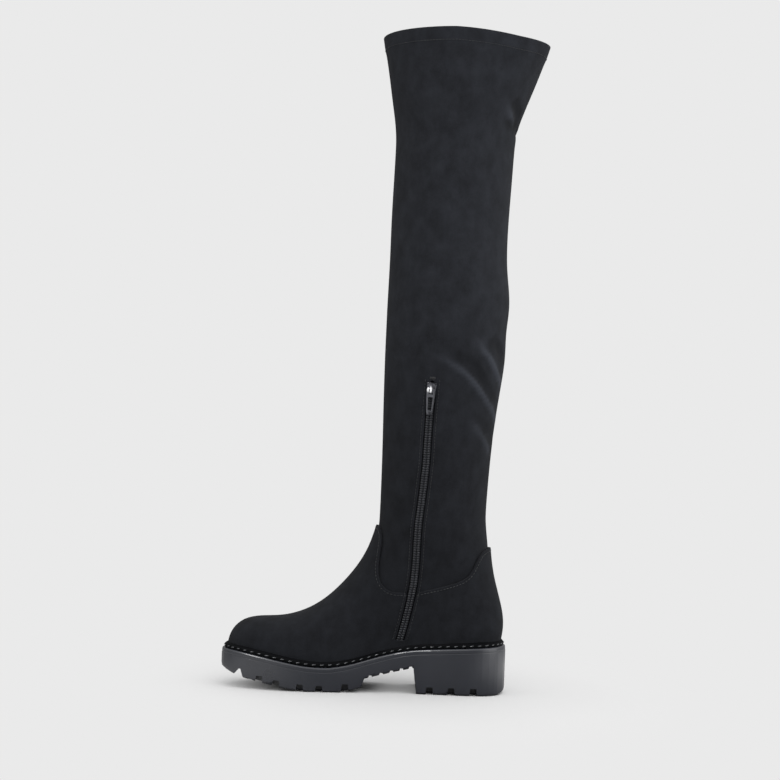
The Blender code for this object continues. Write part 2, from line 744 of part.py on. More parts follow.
def slider_box(name, group, width, depths, ends, taper=1.0, bevel=0.0):
    """Block on the leg: width across, depths off the leg's face and ends along the zip."""
    bm = bmesh.new()
    bmesh.ops.create_cube(bm, size=1.0)
    for v in bm.verts:
        narrow = taper if v.co.z < 0 else 1.0
        local = Vector((v.co.x * width * narrow, depths[v.co.y > 0], ends[v.co.z > 0]))
        v.co = place(on_leg @ local)
    bmesh.ops.recalc_face_normals(bm, faces=bm.faces)
    if bevel:
        bmesh.ops.bevel(
            bm, geom=bm.edges[:], offset=bevel * MM, segments=2, profile=0.5, affect="EDGES", material=-1,
        )
    return new_object(name, bm, slider_metal, group, 40)


slider_pieces = bpy.data.collections.new("slider_pieces")
bpy.context.scene.collection.children.link(slider_pieces)
slider = slider_box("zip_slider", boot, 9.4, (0.5, 1.9), (-6.5, 4.5), 0.8, 0.4)
for name, width, depths, ends in (
    ("slider_neck", 2.4, (-3.6, 1.2), (0.6, 3.6)),
    ("slider_back_wing", 7.6, (-4.4, -3.1), (-6.5, 4.5)),
    ("bridge_low_foot", 2.0, (1.2, 4.8), (-5.0, -4.0)),
    ("bridge_high_foot", 2.0, (1.2, 4.8), (2.0, 3.0)),
    ("bridge_bar", 1.999, (4.2, 5.1), (-4.99, 2.99)),
):
    piece = slider_box(name, slider_pieces, width, depths, ends)
    piece.hide_render = True
    piece.display_type = "WIRE"
join = slider.modifiers.new("joined", "BOOLEAN")
join.operation = "UNION"
join.operand_type = "COLLECTION"
join.collection = slider_pieces
join.solver = "EXACT"

# Pull tab: a tapered plate with an eye round the bridge and a long slot, hung on the bridge
PullRow = namedtuple("PullRow", "along_zip half_width window")
PULL_ROWS = (
    PullRow(0.6, 3.7, 0.0), PullRow(-0.6, 4.1, 2.0), PullRow(-5.0, 4.1, 2.0), PullRow(-8.0, 3.9, 2.2),
    PullRow(-20.4, 3.1, 1.7), PullRow(-22.6, 2.8, 1.2), PullRow(-PULL_LENGTH, 2.0, 0.7),
)
PULL_OPEN = (False, True, False, True, False, False)
pivot = on_leg @ Vector((0.0, 3.05, -1.0))
bm = bmesh.new()
rows = []
for row in PULL_ROWS:
    inner = row.window or 1.6
    rows.append([
        bm.verts.new(on_leg.to_3x3() @ Vector((x, 0.0, row.along_zip)) * MM)
        for x in (-row.half_width, -inner, inner, row.half_width)
    ])
for low, high, has_hole in zip(rows, rows[1:], PULL_OPEN):
    for k in range(3):
        if has_hole and k == 1:
            continue
        bm.faces.new((low[k], low[k + 1], high[k + 1], high[k]))
pull = new_object("zip_pull", bm, pull_metal, boot, 40)
pull.location = place(pivot)
plate = pull.modifiers.new("plate", "SOLIDIFY")
plate.thickness = 1.2 * MM
plate.offset = 0.0
edge = pull.modifiers.new("edges", "BEVEL")
edge.width = 0.25 * MM
edge.segments = 2
edge.limit_method = "ANGLE"
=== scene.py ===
"""Dressed model of a flat over-the-knee boot for the right foot.

Lengths that follow the boot are millimetres from the tip of the sole (x) and from the floor (z), and
on_boot() turns them into the frame's metres. Steps and offsets that go with them are millimetres too.
Other lengths are metres, unless a name says mm.
"""

import math
from collections import namedtuple

import bmesh
import bpy
import numpy as np
from mathutils import Matrix, Vector, noise
from mathutils.bvhtree import BVHTree


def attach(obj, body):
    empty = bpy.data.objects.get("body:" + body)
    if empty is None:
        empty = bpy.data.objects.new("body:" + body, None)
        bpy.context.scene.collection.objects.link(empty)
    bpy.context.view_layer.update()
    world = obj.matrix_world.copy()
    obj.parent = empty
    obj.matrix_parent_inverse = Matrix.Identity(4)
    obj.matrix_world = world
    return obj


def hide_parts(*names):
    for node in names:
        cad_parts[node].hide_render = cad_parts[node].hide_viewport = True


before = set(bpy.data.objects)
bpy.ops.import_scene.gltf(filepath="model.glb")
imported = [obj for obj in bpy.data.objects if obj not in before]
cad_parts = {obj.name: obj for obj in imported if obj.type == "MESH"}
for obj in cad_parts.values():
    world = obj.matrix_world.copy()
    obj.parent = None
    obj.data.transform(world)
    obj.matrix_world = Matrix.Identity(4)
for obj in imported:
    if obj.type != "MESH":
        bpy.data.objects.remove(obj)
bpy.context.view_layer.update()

# The camera stands level and far off on the zip side, and is turned a little about its own axis, so
# that the upright boot leans back as it does in the picture.
camera = bpy.data.objects.new("camera", bpy.data.cameras.new("camera"))
camera.data.sensor_width = 36.0
camera.data.lens = 101.5
camera.location = (0.00485, -2.1, 0.2846)
camera.rotation_euler = (math.radians(90.0), math.radians(-2.1), 0.0)
bpy.context.scene.collection.objects.link(camera)
bpy.context.scene.camera = camera
bpy.context.scene.view_settings.view_transform = "Standard"


# The floor is a wide sheet of pale seamless paper, matt, with nothing on it but the soft shade round the
# heel. Farther out it glows in the backdrop's grey as if lit from below, and only the camera sees the glow,
# so the camera sees an even grey. Under the waist a weak glow of the same kind is painted light that lifts
# the shade on the floor there. It throws back less light on the boot than its paleness would, least close
# to the leg and behind it.
def linear(text):
    """Linear colour of an sRGB hex value."""
    parts = [int(text[k:k + 2], 16) / 255 for k in (1, 3, 5)]
    return tuple(p / 12.92 if p <= 0.04045 else ((p + 0.055) / 1.055) ** 2.4 for p in parts) + (1.0,)


def add_node(tree, kind, inputs=None, **settings):
    """One node with its settings, and values or other nodes' sockets for its inputs."""
    node = tree.nodes.new(kind)
    for name, value in settings.items():
        setattr(node, name, value)
    for name, value in (inputs or {}).items():
        if isinstance(value, bpy.types.NodeSocket):
            tree.links.new(value, node.inputs[name])
        else:
            node.inputs[name].default_value = value
    return node


def new_material(name):
    """A material with nothing in it but its output."""
    material = bpy.data.materials.new(name)
    material.use_nodes = True
    material.node_tree.nodes.clear()
    return material, material.node_tree, add_node(material.node_tree, "ShaderNodeOutputMaterial")


def outwards(tree, where, middle, half):
    """How far out a place on the floor is, 1 on an ellipse of these half lengths in metres."""
    scaled = add_node(tree, "ShaderNodeMapping", {
        "Vector": where, "Location": (-middle / half[0], 0.0, 0.0), "Scale": (1 / half[0], 1 / half[1], 0.0),
    })
    return add_node(tree, "ShaderNodeVectorMath", {0: scaled.outputs[0]}, operation="LENGTH").outputs["Value"]


BACKDROP = "#EAEAEA"
HEEL_X, HEEL_SHADE = 0.0425, (0.17, 0.22)
WAIST_X, WAIST_GLOW = 0.024, (0.034, 0.06)
LEG_X = 0.04
FLOOR_HALF = 30.0
paper, tree, output = new_material("seamless_paper")
where = add_node(tree, "ShaderNodeTexCoord").outputs["Object"]
far_out = add_node(tree, "ShaderNodeMapRange", {
    "Value": outwards(tree, where, HEEL_X, HEEL_SHADE), "From Min": 0.7, "From Max": 1.6,
}, interpolation_type="SMOOTHSTEP")
# Painted light: a weak glow under the waist, seen only by the camera, lifts the floor's shade there.
painted_waist_light = add_node(tree, "ShaderNodeMapRange", {
    "Value": outwards(tree, where, WAIST_X, WAIST_GLOW),
    "From Min": 0.25, "From Max": 1.0, "To Min": 0.2, "To Max": 0.0,
}, interpolation_type="SMOOTHSTEP")
glow = add_node(tree, "ShaderNodeMath", {0: far_out.outputs[0], 1: painted_waist_light.outputs[0]},
                operation="MAXIMUM")
matt = add_node(tree, "ShaderNodeBsdfDiffuse", {"Color": linear("#CFCFCF")})
lit = add_node(tree, "ShaderNodeEmission", {"Color": linear(BACKDROP), "Strength": 1.0})
shown = add_node(tree, "ShaderNodeMixShader", {0: glow.outputs[0], 1: matt.outputs[0], 2: lit.outputs[0]})
along = add_node(tree, "ShaderNodeSeparateXYZ", {0: where}).outputs["X"]
from_leg = add_node(tree, "ShaderNodeMath", {0: along, 1: LEG_X}, operation="SUBTRACT")
off_leg = add_node(tree, "ShaderNodeMath", {0: from_leg.outputs[0]}, operation="ABSOLUTE")
spread = add_node(tree, "ShaderNodeMapRange", {
    "Value": off_leg.outputs[0], "From Min": 0.05, "From Max": 0.24, "To Min": 0.22, "To Max": 0.80,
}, interpolation_type="SMOOTHSTEP")
BACK_WAY = (-0.5, 1.0, 0.0)
towards_back = add_node(tree, "ShaderNodeVectorMath", {0: where, 1: BACK_WAY}, operation="DOT_PRODUCT")
shaded = add_node(tree, "ShaderNodeMapRange", {
    "Value": towards_back.outputs["Value"], "From Min": 0.06, "From Max": 0.2, "To Min": 1.0, "To Max": 0.35,
})
share = add_node(tree, "ShaderNodeMath", {0: spread.outputs[0], 1: shaded.outputs[0]}, operation="MULTIPLY")
thrown = add_node(tree, "ShaderNodeBsdfDiffuse", {"Color": share.outputs[0]})
seen = add_node(tree, "ShaderNodeLightPath")
sheet = add_node(tree, "ShaderNodeMixShader", {
    0: seen.outputs["Is Camera Ray"], 1: thrown.outputs[0], 2: shown.outputs[0],
})
tree.links.new(sheet.outputs[0], output.inputs["Surface"])
bm = bmesh.new()
bmesh.ops.create_grid(bm, x_segments=1, y_segments=1, size=FLOOR_HALF)
mesh = bpy.data.meshes.new("floor")
bm.to_mesh(mesh)
bm.free()
mesh.materials.append(paper)
floor = bpy.data.objects.new("floor", mesh)
bpy.context.scene.collection.objects.link(floor)

# Studio light: a white tent, brightest overhead and on the heel's side and dim behind the boot, with a
# narrow dark gap where the camera looks in. Of four broad soft lamps only the heel's one is mirrored in
# the rubber, and a strip at the toe's side shows only as its mirrored line.
world = bpy.data.worlds.new("tent")
bpy.context.scene.world = world
world.use_nodes = True
tree = world.node_tree
tree.nodes.clear()
direction = add_node(tree, "ShaderNodeTexCoord").outputs["Generated"]
towards = add_node(tree, "ShaderNodeSeparateXYZ", {0: direction})
sides = add_node(tree, "ShaderNodeMapRange", {
    "Value": towards.outputs["X"], "From Min": -1.0, "From Max": 1.0, "To Min": 0.80, "To Max": 1.15,
})
height = add_node(tree, "ShaderNodeMapRange", {
    "Value": towards.outputs["Z"], "From Min": 0.0, "From Max": 1.0, "To Min": 0.55, "To Max": 1.35,
})
behind = add_node(tree, "ShaderNodeMapRange", {
    "Value": towards.outputs["Y"], "From Min": -0.1, "From Max": 0.8, "To Min": 1.0, "To Max": 0.55,
}, interpolation_type="SMOOTHSTEP")
GAP_WAY = (0.16, -0.98, 0.0)
to_camera = add_node(tree, "ShaderNodeVectorMath", {0: direction, 1: GAP_WAY}, operation="DOT_PRODUCT")
gap = add_node(tree, "ShaderNodeMapRange", {
    "Value": to_camera.outputs["Value"], "From Min": 0.86, "From Max": 0.985, "To Min": 1.0, "To Max": 0.15,
}, interpolation_type="SMOOTHSTEP")
glow = sides.outputs[0]
for part in (height, behind, gap):
    glow = add_node(tree, "ShaderNodeMath", {0: glow, 1: part.outputs[0]}, operation="MULTIPLY").outputs[0]
tent = add_node(tree, "ShaderNodeBackground", {"Color": linear("#FFFFFF"), "Strength": glow})
beyond = add_node(tree, "ShaderNodeBackground", {"Color": linear(BACKDROP), "Strength": 1.0})
seen = add_node(tree, "ShaderNodeLightPath")
both = add_node(tree, "ShaderNodeMixShader", {
    0: seen.outputs["Is Camera Ray"], 1: tent.outputs[0], 2: beyond.outputs[0],
})
add_node(tree, "ShaderNodeOutputWorld", {"Surface": both.outputs[0]})
# Angles in degrees: tilt is down from overhead, turn is from the camera's side round to the heel's
Lamp = namedtuple("Lamp", "name strength spread tilt turn matt mirrored")
for lamp in (
    Lamp("high_lamp", 0.7, 40.0, 32.0, 30.0, True, False),
    Lamp("front_lamp", 0.7, 50.0, 70.0, 4.0, True, False),
    Lamp("heel_lamp", 0.9, 60.0, 65.0, 75.0, True, True),
    Lamp("toe_strip", 2.6, 26.0, 39.0, -44.0, False, True),
    Lamp("back_lamp", 0.4, 60.0, 50.0, 165.0, True, False),
):
    light = bpy.data.lights.new(lamp.name, "SUN")
    light.energy = lamp.strength
    light.angle = math.radians(lamp.spread)
    holder = bpy.data.objects.new(lamp.name, light)
    holder.rotation_euler = (math.radians(lamp.tilt), 0.0, math.radians(lamp.turn))
    holder.visible_diffuse = lamp.matt
    holder.visible_glossy = lamp.mirrored
    bpy.context.scene.collection.objects.link(holder)


# The outsole is one moulded rubber unit: a lip round the top, a plain side wall, and lugs, ribs and
# grooves underneath. It comes out of a satin mould, so its sides are smooth and a little glossy.
def merged_copy(node):
    """The CAD solid of a node with its loose triangles joined up to quads where they make them."""
    bm = bmesh.new()
    bm.from_mesh(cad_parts[node].data)
    bmesh.ops.remove_doubles(bm, verts=bm.verts, dist=1e-5)
    bmesh.ops.join_triangles(
        bm, faces=bm.faces, angle_face_threshold=math.radians(60), angle_shape_threshold=math.pi,
        topology_influence=2.0,
    )
    return bm


def finished(name, bm, body, materials, sharp=None):
    """A piece of the boot from a mesh in place, riding on its body. Edges over sharp degrees stay hard."""
    mesh = bpy.data.meshes.new(name)
    bm.to_mesh(mesh)
    bm.free()
    mesh.shade_smooth()
    if sharp is not None:
        mesh.set_sharp_from_angle(angle=math.radians(sharp))
    for material in materials:
        mesh.materials.append(material)
    piece = bpy.data.objects.new(name, mesh)
    bpy.context.scene.collection.objects.link(piece)
    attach(piece, body)
    return piece


def surfaced(tree, output, inputs):
    """Gives a material its shader."""
    shader = add_node(tree, "ShaderNodeBsdfPrincipled", inputs)
    tree.links.new(shader.outputs[0], output.inputs["Surface"])


def bumped(tree, height, strength, depth):
    """The relief of a surface, with its depth in metres."""
    return add_node(tree, "ShaderNodeBump", {"Height": height, "Strength": strength, "Distance": depth})


def toned(tree, value, dark, light):
    """A colour that goes from one sRGB hex value to another."""
    tone = add_node(tree, "ShaderNodeValToRGB", {"Fac": value})
    tone.color_ramp.elements[0].color = linear(dark)
    tone.color_ramp.elements[1].color = linear(light)
    return tone


# Black rubber from a sparked mould: satin, with a cloudy bloom some 35 mm across. The spark grain is
# about 0.2 mm and is drawn at 1.1 mm, so that it shows.
rubber, tree, output = new_material("satin_moulded_rubber")
where = add_node(tree, "ShaderNodeTexCoord").outputs["Object"]
bloom = add_node(tree, "ShaderNodeTexNoise", {"Vector": where, "Scale": 1000 / 35, "Detail": 3.0})
tone = toned(tree, bloom.outputs["Fac"], "#1E2026", "#292B32")
rough = add_node(tree, "ShaderNodeMapRange", {"Value": bloom.outputs["Fac"], "To Min": 0.24, "To Max": 0.34})
grain = add_node(tree, "ShaderNodeTexNoise", {"Vector": where, "Scale": 1000 / 1.1, "Detail": 2.0})
relief = bumped(tree, grain.outputs["Fac"], 0.15, 0.0002)
surfaced(tree, output, {
    "Base Color": tone.outputs["Color"], "Roughness": rough.outputs[0], "IOR": 1.6,
    "Normal": relief.outputs[0],
})
outsole = finished("outsole_unit", merged_copy("outsole"), "boot", [rubber], 50)
# The mould's walls are one smooth sweep, so a corner of a wall takes the mean normal of the wall faces near
# it that look its way. Where the heel begins the lip flares a little: there only its normals are turned.
WALL_LEAN, LIP_LEAN = 0.25, 0.3
LOOKS_ALIKE, SWEEP = 0.88, 0.007
FLARE_X, FLARE_HALF, FLARE_TURN = 0.037, 0.022, -20.0
sole_mesh = outsole.data
own = [n.vector.copy() for n in sole_mesh.corner_normals]
centre = np.array([p.center for p in sole_mesh.polygons])
facing = np.array([p.normal for p in sole_mesh.polygons])
area = np.array([p.area for p in sole_mesh.polygons])
for p in sole_mesh.polygons:
    if abs(p.normal.z) < WALL_LEAN:
        alike = np.clip(facing @ facing[p.index] - LOOKS_ALIKE, 0.0, None)
        for corner, v in zip(p.loop_indices, p.vertices):
            away = np.sum((centre - np.array(sole_mesh.vertices[v].co)) ** 2, axis=1)
            share = area * alike * np.exp(-away / (2 * SWEEP ** 2))
            own[corner] = Vector(share @ facing).normalized()
    elif p.center.y < 0 and p.normal.z > LIP_LEAN:
        off_flare = min(1.0, abs(p.center.x - FLARE_X) / FLARE_HALF)
        flare = math.cos(off_flare * math.pi / 2)
        turned = Matrix.Rotation(math.radians(FLARE_TURN * flare), 3, "Z")
        for corner in p.loop_indices:
            own[corner] = turned @ own[corner]
sole_mesh.normals_split_custom_set(own)
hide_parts("outsole")


# The welt is a soft upright strip cemented along the foot on top of the sole's lip. A thick waxed
# thread is sewn through its outer face all the way round.
def refined(bm, levels):
    """The mesh with its faces split and rounded as a subdivision surface."""
    mesh = bpy.data.meshes.new("rough")
    bm.to_mesh(mesh)
    bm.free()
    holder = bpy.data.objects.new("rough", mesh)
    bpy.context.scene.collection.objects.link(holder)
    rounding = holder.modifiers.new("rounding", "SUBSURF")
    rounding.levels = rounding.render_levels = levels
    shaped = holder.evaluated_get(bpy.context.evaluated_depsgraph_get())
    bm = bmesh.new()
    bm.from_mesh(shaped.to_mesh())
    shaped.to_mesh_clear()
    bpy.data.objects.remove(holder)
    bpy.data.meshes.remove(mesh)
    return bm


def even_steps(points, pitch, closed=False):
    """Places a pitch apart along a run of points, each with the direction of the run there."""
    run = list(points) + ([points[0]] if closed else [])
    reach = [0.0]
    for a, b in zip(run, run[1:]):
        reach.append(reach[-1] + (b - a).length)
    count = max(round(reach[-1] / pitch), 1)
    places = []
    k = 0
    for i in range(count):
        want = reach[-1] * (i + 0.5) / count
        while reach[k + 1] < want:
            k += 1
        step = run[k + 1] - run[k]
        places.append((run[k] + step * ((want - reach[k]) / step.length), step.normalized()))
    return places


def add_bead(bm, at, run, out, size):
    """A rounded bead of a size along run, across it and towards out."""
    run = run.normalized()
    across = out.cross(run).normalized()
    out = run.cross(across)
    turned = Matrix((across, out, run)).transposed().to_4x4()
    scaled = Matrix.Diagonal((size[1], size[2], size[0], 1.0))
    bmesh.ops.create_uvsphere(
        bm, u_segments=6, v_segments=5, radius=0.5, matrix=Matrix.Translation(at) @ turned @ scaled,
    )


# Black rubber strip rolled with a dull skin, so that only its edge takes a little light.
dull_rubber, tree, output = new_material("dull_rubber_strip")
where = add_node(tree, "ShaderNodeTexCoord").outputs["Object"]
bloom = add_node(tree, "ShaderNodeTexNoise", {"Vector": where, "Scale": 1000 / 9, "Detail": 3.0})
tone = toned(tree, bloom.outputs["Fac"], "#060708", "#0C0D0F")
rough = add_node(tree, "ShaderNodeMapRange", {"Value": bloom.outputs["Fac"], "To Min": 0.55, "To Max": 0.75})
surfaced(tree, output, {
    "Base Color": tone.outputs["Color"], "Roughness": rough.outputs[0], "IOR": 1.5,
    "Specular IOR Level": 0.03,
})
UPRIGHT = 0.35
FOOT_AXIS = 0.09
SEWN_UP = Vector((0.0, 0.0, 0.0005))
WELT_ROUND = 0.00035


def faces_out(face):
    """Whether an upright face of the welt looks away from the line along the middle of the foot."""
    at = face.calc_center_median()
    from_axis = Vector((at.x - min(max(at.x, -FOOT_AXIS), FOOT_AXIS), at.y, 0.0))
    return abs(face.normal.z) < UPRIGHT and face.normal.dot(from_axis) > 0


bm = merged_copy("welt")
side_faces = [f for f in bm.faces if faces_out(f)]
side_faces.sort(key=lambda f: math.atan2(f.calc_center_median().y, f.calc_center_median().x))
sewn = [f.calc_center_median() + SEWN_UP for f in side_faces]
sewn_out = [f.normal.copy() for f in side_faces]
hard = [e for e in bm.edges if e.calc_face_angle(0.0) > math.radians(30)]
bmesh.ops.bevel(bm, geom=hard, offset=WELT_ROUND, segments=2, profile=0.5, affect="EDGES", material=-1)
welt = finished("welt_strip", refined(bm, 1), "boot", [dull_rubber], 50)
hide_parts("welt")

# Waxed polyester: a grey black thread with a soft shine, twisted about every 1.5 mm.
waxed, tree, output = new_material("waxed_thread")
where = add_node(tree, "ShaderNodeTexCoord").outputs["Object"]
twist = add_node(tree, "ShaderNodeTexNoise", {"Vector": where, "Scale": 1000 / 1.5, "Detail": 1.0})
tone = toned(tree, twist.outputs["Fac"], "#242629", "#48494D")
relief = bumped(tree, twist.outputs["Fac"], 0.4, 0.0003)
surfaced(tree, output, {
    "Base Color": tone.outputs["Color"], "Roughness": 0.25, "IOR": 1.55, "Normal": relief.outputs[0],
})
WELT_STITCH = (0.0040, 0.0012, 0.0013)
WELT_PITCH = 0.0075
SLANT = Vector((0.0, 0.0, 0.22))
THREAD_OUT = 0.0002
bm = bmesh.new()
for at, run in even_steps(sewn, WELT_PITCH, closed=True):
    nearest = min(range(len(sewn)), key=lambda k: (sewn[k] - at).length)
    out = sewn_out[nearest]
    add_bead(bm, at + out * THREAD_OUT, run + SLANT, out, WELT_STITCH)
finished("welt_stitches", bm, "boot", [waxed])

# The insole is a fibre board with a dark woven cover, laid inside the foot on the sole. It is cut flat
# and takes its bend from the sole.

# Woven polyester cover: a plain weave about 0.6 mm wide that looks dull and even, a little paler than suede.
textile, tree, output = new_material("woven_insole_textile")
where = add_node(tree, "ShaderNodeTexCoord").outputs["Object"]
weft = add_node(tree, "ShaderNodeTexWave", {"Vector": where, "Scale": 1000 / 2.0, "Distortion": 0.4},
                bands_direction="X")
warp = add_node(tree, "ShaderNodeTexWave", {"Vector": where, "Scale": 1000 / 2.0, "Distortion": 0.4},
                bands_direction="Y")
weave = add_node(tree, "ShaderNodeMath", {0: weft.outputs["Fac"], 1: warp.outputs["Fac"]},
                 operation="MULTIPLY")
tone = toned(tree, weave.outputs[0], "#232326", "#35353A")
relief = bumped(tree, weave.outputs[0], 0.4, 0.0003)
surfaced(tree, output, {
    "Base Color": tone.outputs["Color"], "Roughness": 0.9, "Specular IOR Level": 0.2,
    "Normal": relief.outputs[0],
})
insole = finished("insole_board", merged_copy("insole"), "boot", [textile], 40)
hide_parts("insole")


# The upper is the foot of the boot: faux suede with a stiff backing, lasted over the insole, with a
# tab up the instep and a counter up the heel. It is lapped over the shaft and topstitched along its edge.
def outer_skin(bm, seed):
    """Leaves the outer face of a wall: what is reached from a face of it without turning a hard edge."""
    skin = {seed}
    todo = [seed]
    while todo:
        face = todo.pop()
        for edge in face.edges:
            if edge.calc_face_angle(math.pi) < math.radians(50):
                for other in edge.link_faces:
                    if other not in skin:
                        skin.add(other)
                        todo.append(other)
    bmesh.ops.delete(bm, geom=[f for f in bm.faces if f not in skin], context="FACES")


# Faux suede: dyed microfibre with a brushed nap that takes almost no light. The nap lies in soft
# patches; its fibres are about 0.2 mm apart and are drawn at 0.9 mm, so that they show. Along folds a
# point value makes it paler on the ridges, partly as rubbed nap and partly as a painted highlight, and
# darker in the hollows as painted shade. It is pulled in along the seam ("girth" is the way round from
# the back), and painted shade makes it darker towards the ankle. A piece without a girth shows no seam.
SEAM_OFF_BACK = 0.006


def napped_suede(name, dark, light, patch_mm):
    material, tree, output = new_material(name)
    where = add_node(tree, "ShaderNodeTexCoord").outputs["Object"]
    brushed = add_node(tree, "ShaderNodeMapping", {"Vector": where, "Scale": (1.0, 1.0, 0.75)})
    patch = add_node(tree, "ShaderNodeTexNoise", {
        "Vector": brushed.outputs[0], "Scale": 1000 / patch_mm, "Detail": 4.0, "Roughness": 0.6,
    })
    fibre = add_node(tree, "ShaderNodeTexNoise", {"Vector": where, "Scale": 1000 / 0.9, "Detail": 2.0})
    nap = add_node(tree, "ShaderNodeMath", {0: fibre.outputs["Fac"], 1: 0.35, 2: patch.outputs["Fac"]},
                   operation="MULTIPLY_ADD")
    # Painted light: partly rubbed nap, partly a painted highlight on ridges and painted shade in hollows
    rub_and_fold_light = add_node(tree, "ShaderNodeAttribute", attribute_name="rub_and_fold_light")
    nap_rub_and_fold_light = add_node(tree, "ShaderNodeMath", {0: rub_and_fold_light.outputs["Fac"], 1: 0.45, 2: nap.outputs[0]},
                    operation="MULTIPLY_ADD")
    tone = toned(tree, nap_rub_and_fold_light.outputs[0], dark, light)
    tone.color_ramp.elements[0].position = 0.30
    # Painted shade: the colour darkens towards the ankle, from 0.42 m down to 0.12 m
    high = add_node(tree, "ShaderNodeSeparateXYZ", {0: where}).outputs["Z"]
    painted_low_shade = add_node(tree, "ShaderNodeMapRange", {
        "Value": high, "From Min": 0.12, "From Max": 0.42, "To Min": 0.62, "To Max": 1.0,
    }, interpolation_type="SMOOTHSTEP")
    # The fold value also scales the colour, adding to the painted highlight and painted shade on folds
    fold_light_factor = add_node(tree, "ShaderNodeMath", {0: rub_and_fold_light.outputs["Fac"], 1: 0.8, 2: 1.0},
                      operation="MULTIPLY_ADD")
    painted_shading = add_node(tree, "ShaderNodeMath", {0: painted_low_shade.outputs[0], 1: fold_light_factor.outputs[0]},
                     operation="MULTIPLY")
    dyed_with_painted_shading = add_node(tree, "ShaderNodeVectorMath", {0: tone.outputs["Color"], "Scale": painted_shading.outputs[0]},
                    operation="SCALE")
    girth = add_node(tree, "ShaderNodeAttribute", attribute_name="girth")
    from_seam = add_node(tree, "ShaderNodeMath", {0: girth.outputs["Fac"], 1: SEAM_OFF_BACK}, operation="ADD")
    off_seam = add_node(tree, "ShaderNodeMath", {0: from_seam.outputs[0]}, operation="ABSOLUTE")
    level = add_node(tree, "ShaderNodeMapRange", {
        "Value": off_seam.outputs[0], "From Min": 0.0003, "From Max": 0.0013,
    }, interpolation_type="SMOOTHSTEP")
    sewn_in = bumped(tree, level.outputs[0], 0.8, 0.0008)
    relief = add_node(tree, "ShaderNodeBump", {
        "Height": nap.outputs[0], "Strength": 0.25, "Distance": 0.0006, "Normal": sewn_in.outputs[0],
    })
    surfaced(tree, output, {
        "Base Color": dyed_with_painted_shading.outputs[0], "Roughness": 0.95, "IOR": 1.45, "Specular IOR Level": 0.05,
        "Sheen Weight": 0.02, "Sheen Roughness": 0.7, "Normal": relief.outputs[0],
    })
    return material


# Lining: a thin dark knit on the inside of every wall, with rows about 1 mm apart drawn at 2 mm.
lining, tree, output = new_material("knitted_lining")
where = add_node(tree, "ShaderNodeTexCoord").outputs["Object"]
rows = add_node(tree, "ShaderNodeTexWave", {"Vector": where, "Scale": 1000 / 6.3, "Distortion": 1.0},
                bands_direction="Z")
tone = toned(tree, rows.outputs["Fac"], "#1C1C1F", "#2A2A2E")
relief = bumped(tree, rows.outputs["Fac"], 0.3, 0.0003)
surfaced(tree, output, {
    "Base Color": tone.outputs["Color"], "Roughness": 0.9, "Specular IOR Level": 0.2,
    "Normal": relief.outputs[0],
})


def walled(piece, thickness):
    """Gives an open skin its wall inwards, lined, with its cut edges softened."""
    wall = piece.modifiers.new("wall", "SOLIDIFY")
    wall.thickness = thickness
    wall.offset = -1.0
    wall.material_offset = 1
    edge = piece.modifiers.new("soft_edges", "BEVEL")
    edge.width = thickness * 0.3
    edge.segments = 2
    edge.limit_method = "ANGLE"
    edge.angle_limit = math.radians(60)


SKIN_OUT = 0.0004
SLOT_FOOT_X, SLOT_HALF, SLOT_FOOT_Z = 0.022, 0.012, (0.0420, 0.0505)
EDGE_ABOVE, INSTEP_X = 0.0945, 0.039
UPPER_WALL = 0.002


def at_slot_foot(edge):
    """Whether an edge is on the rim of the zip's slot at its foot, where the slot is closed over."""
    low, high = sorted(v.co.z for v in edge.verts)
    near = abs(edge.verts[0].co.x - SLOT_FOOT_X) < SLOT_HALF and edge.verts[0].co.y < 0
    return edge.is_boundary and near and SLOT_FOOT_Z[0] < low and high < SLOT_FOOT_Z[1]


foot_suede = napped_suede("napped_suede_foot", "#18191C", "#292B30", 11.0)
bm = merged_copy("upper")
outer_skin(bm, min(bm.faces, key=lambda f: f.calc_center_median().x))
bm = refined(bm, 2)
bm.normal_update()
for v in bm.verts:
    v.co += v.normal * SKIN_OUT
bmesh.ops.bridge_loops(bm, edges=[e for e in bm.edges if at_slot_foot(e)])
foot_tree = BVHTree.FromBMesh(bm)
top_edge = sorted((v.co.copy() for v in bm.verts if v.is_boundary and v.co.z > EDGE_ABOVE),
                  key=lambda p: math.atan2(p.y, INSTEP_X - p.x))
upper = finished("foot_upper", bm, "boot", [foot_suede, lining])
walled(upper, UPPER_WALL)
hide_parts("upper")

# Polyester sewing thread, dyed black and softly shiny, about 0.5 mm thick and drawn a little thicker.
sewing, tree, output = new_material("polyester_sewing_thread")
where = add_node(tree, "ShaderNodeTexCoord").outputs["Object"]
twist = add_node(tree, "ShaderNodeTexNoise", {"Vector": where, "Scale": 1000 / 0.8, "Detail": 1.0})
tone = toned(tree, twist.outputs["Fac"], "#0E0F11", "#1A1C1F")
relief = bumped(tree, twist.outputs["Fac"], 0.3, 0.0002)
surfaced(tree, output, {
    "Base Color": tone.outputs["Color"], "Roughness": 0.45, "IOR": 1.5, "Normal": relief.outputs[0],
})
STITCH = (0.0024, 0.0006, 0.0006)
STITCH_PITCH = 0.0031
STITCH_IN = 0.0024
STITCH_OUT = 0.0001
ON_SKIN = 0.0005
bm = bmesh.new()
for at, run in even_steps(top_edge, STITCH_PITCH):
    out = foot_tree.find_nearest(at)[1]
    for way in (1.0, -1.0):
        hit, out_there, _, away = foot_tree.find_nearest(at + out.cross(run).normalized() * way * STITCH_IN)
        if away < ON_SKIN:
            add_bead(bm, hit + out_there * STITCH_OUT, run, out_there, STITCH)
            break
finished("upper_topstitch", bm, "boot", [sewing])


# The shaft is one tube of stretch faux suede on a thin lining, closed by a seam down the back and
# turned over in a narrow hem at the top, which rises at both sides. It creases at the back of the calf and
# of the knee, where the leg would bend. Its ridges are rubbed pale and carry a painted highlight, and its
# hollows carry painted shade.
SOLE_TIP = 146.05


def on_boot(x, z, y=0.0):
    """A place on the boot in millimetres, turned into the frame's metres."""
    return Vector(((x - SOLE_TIP) * 0.001, y * 0.001, z * 0.001))


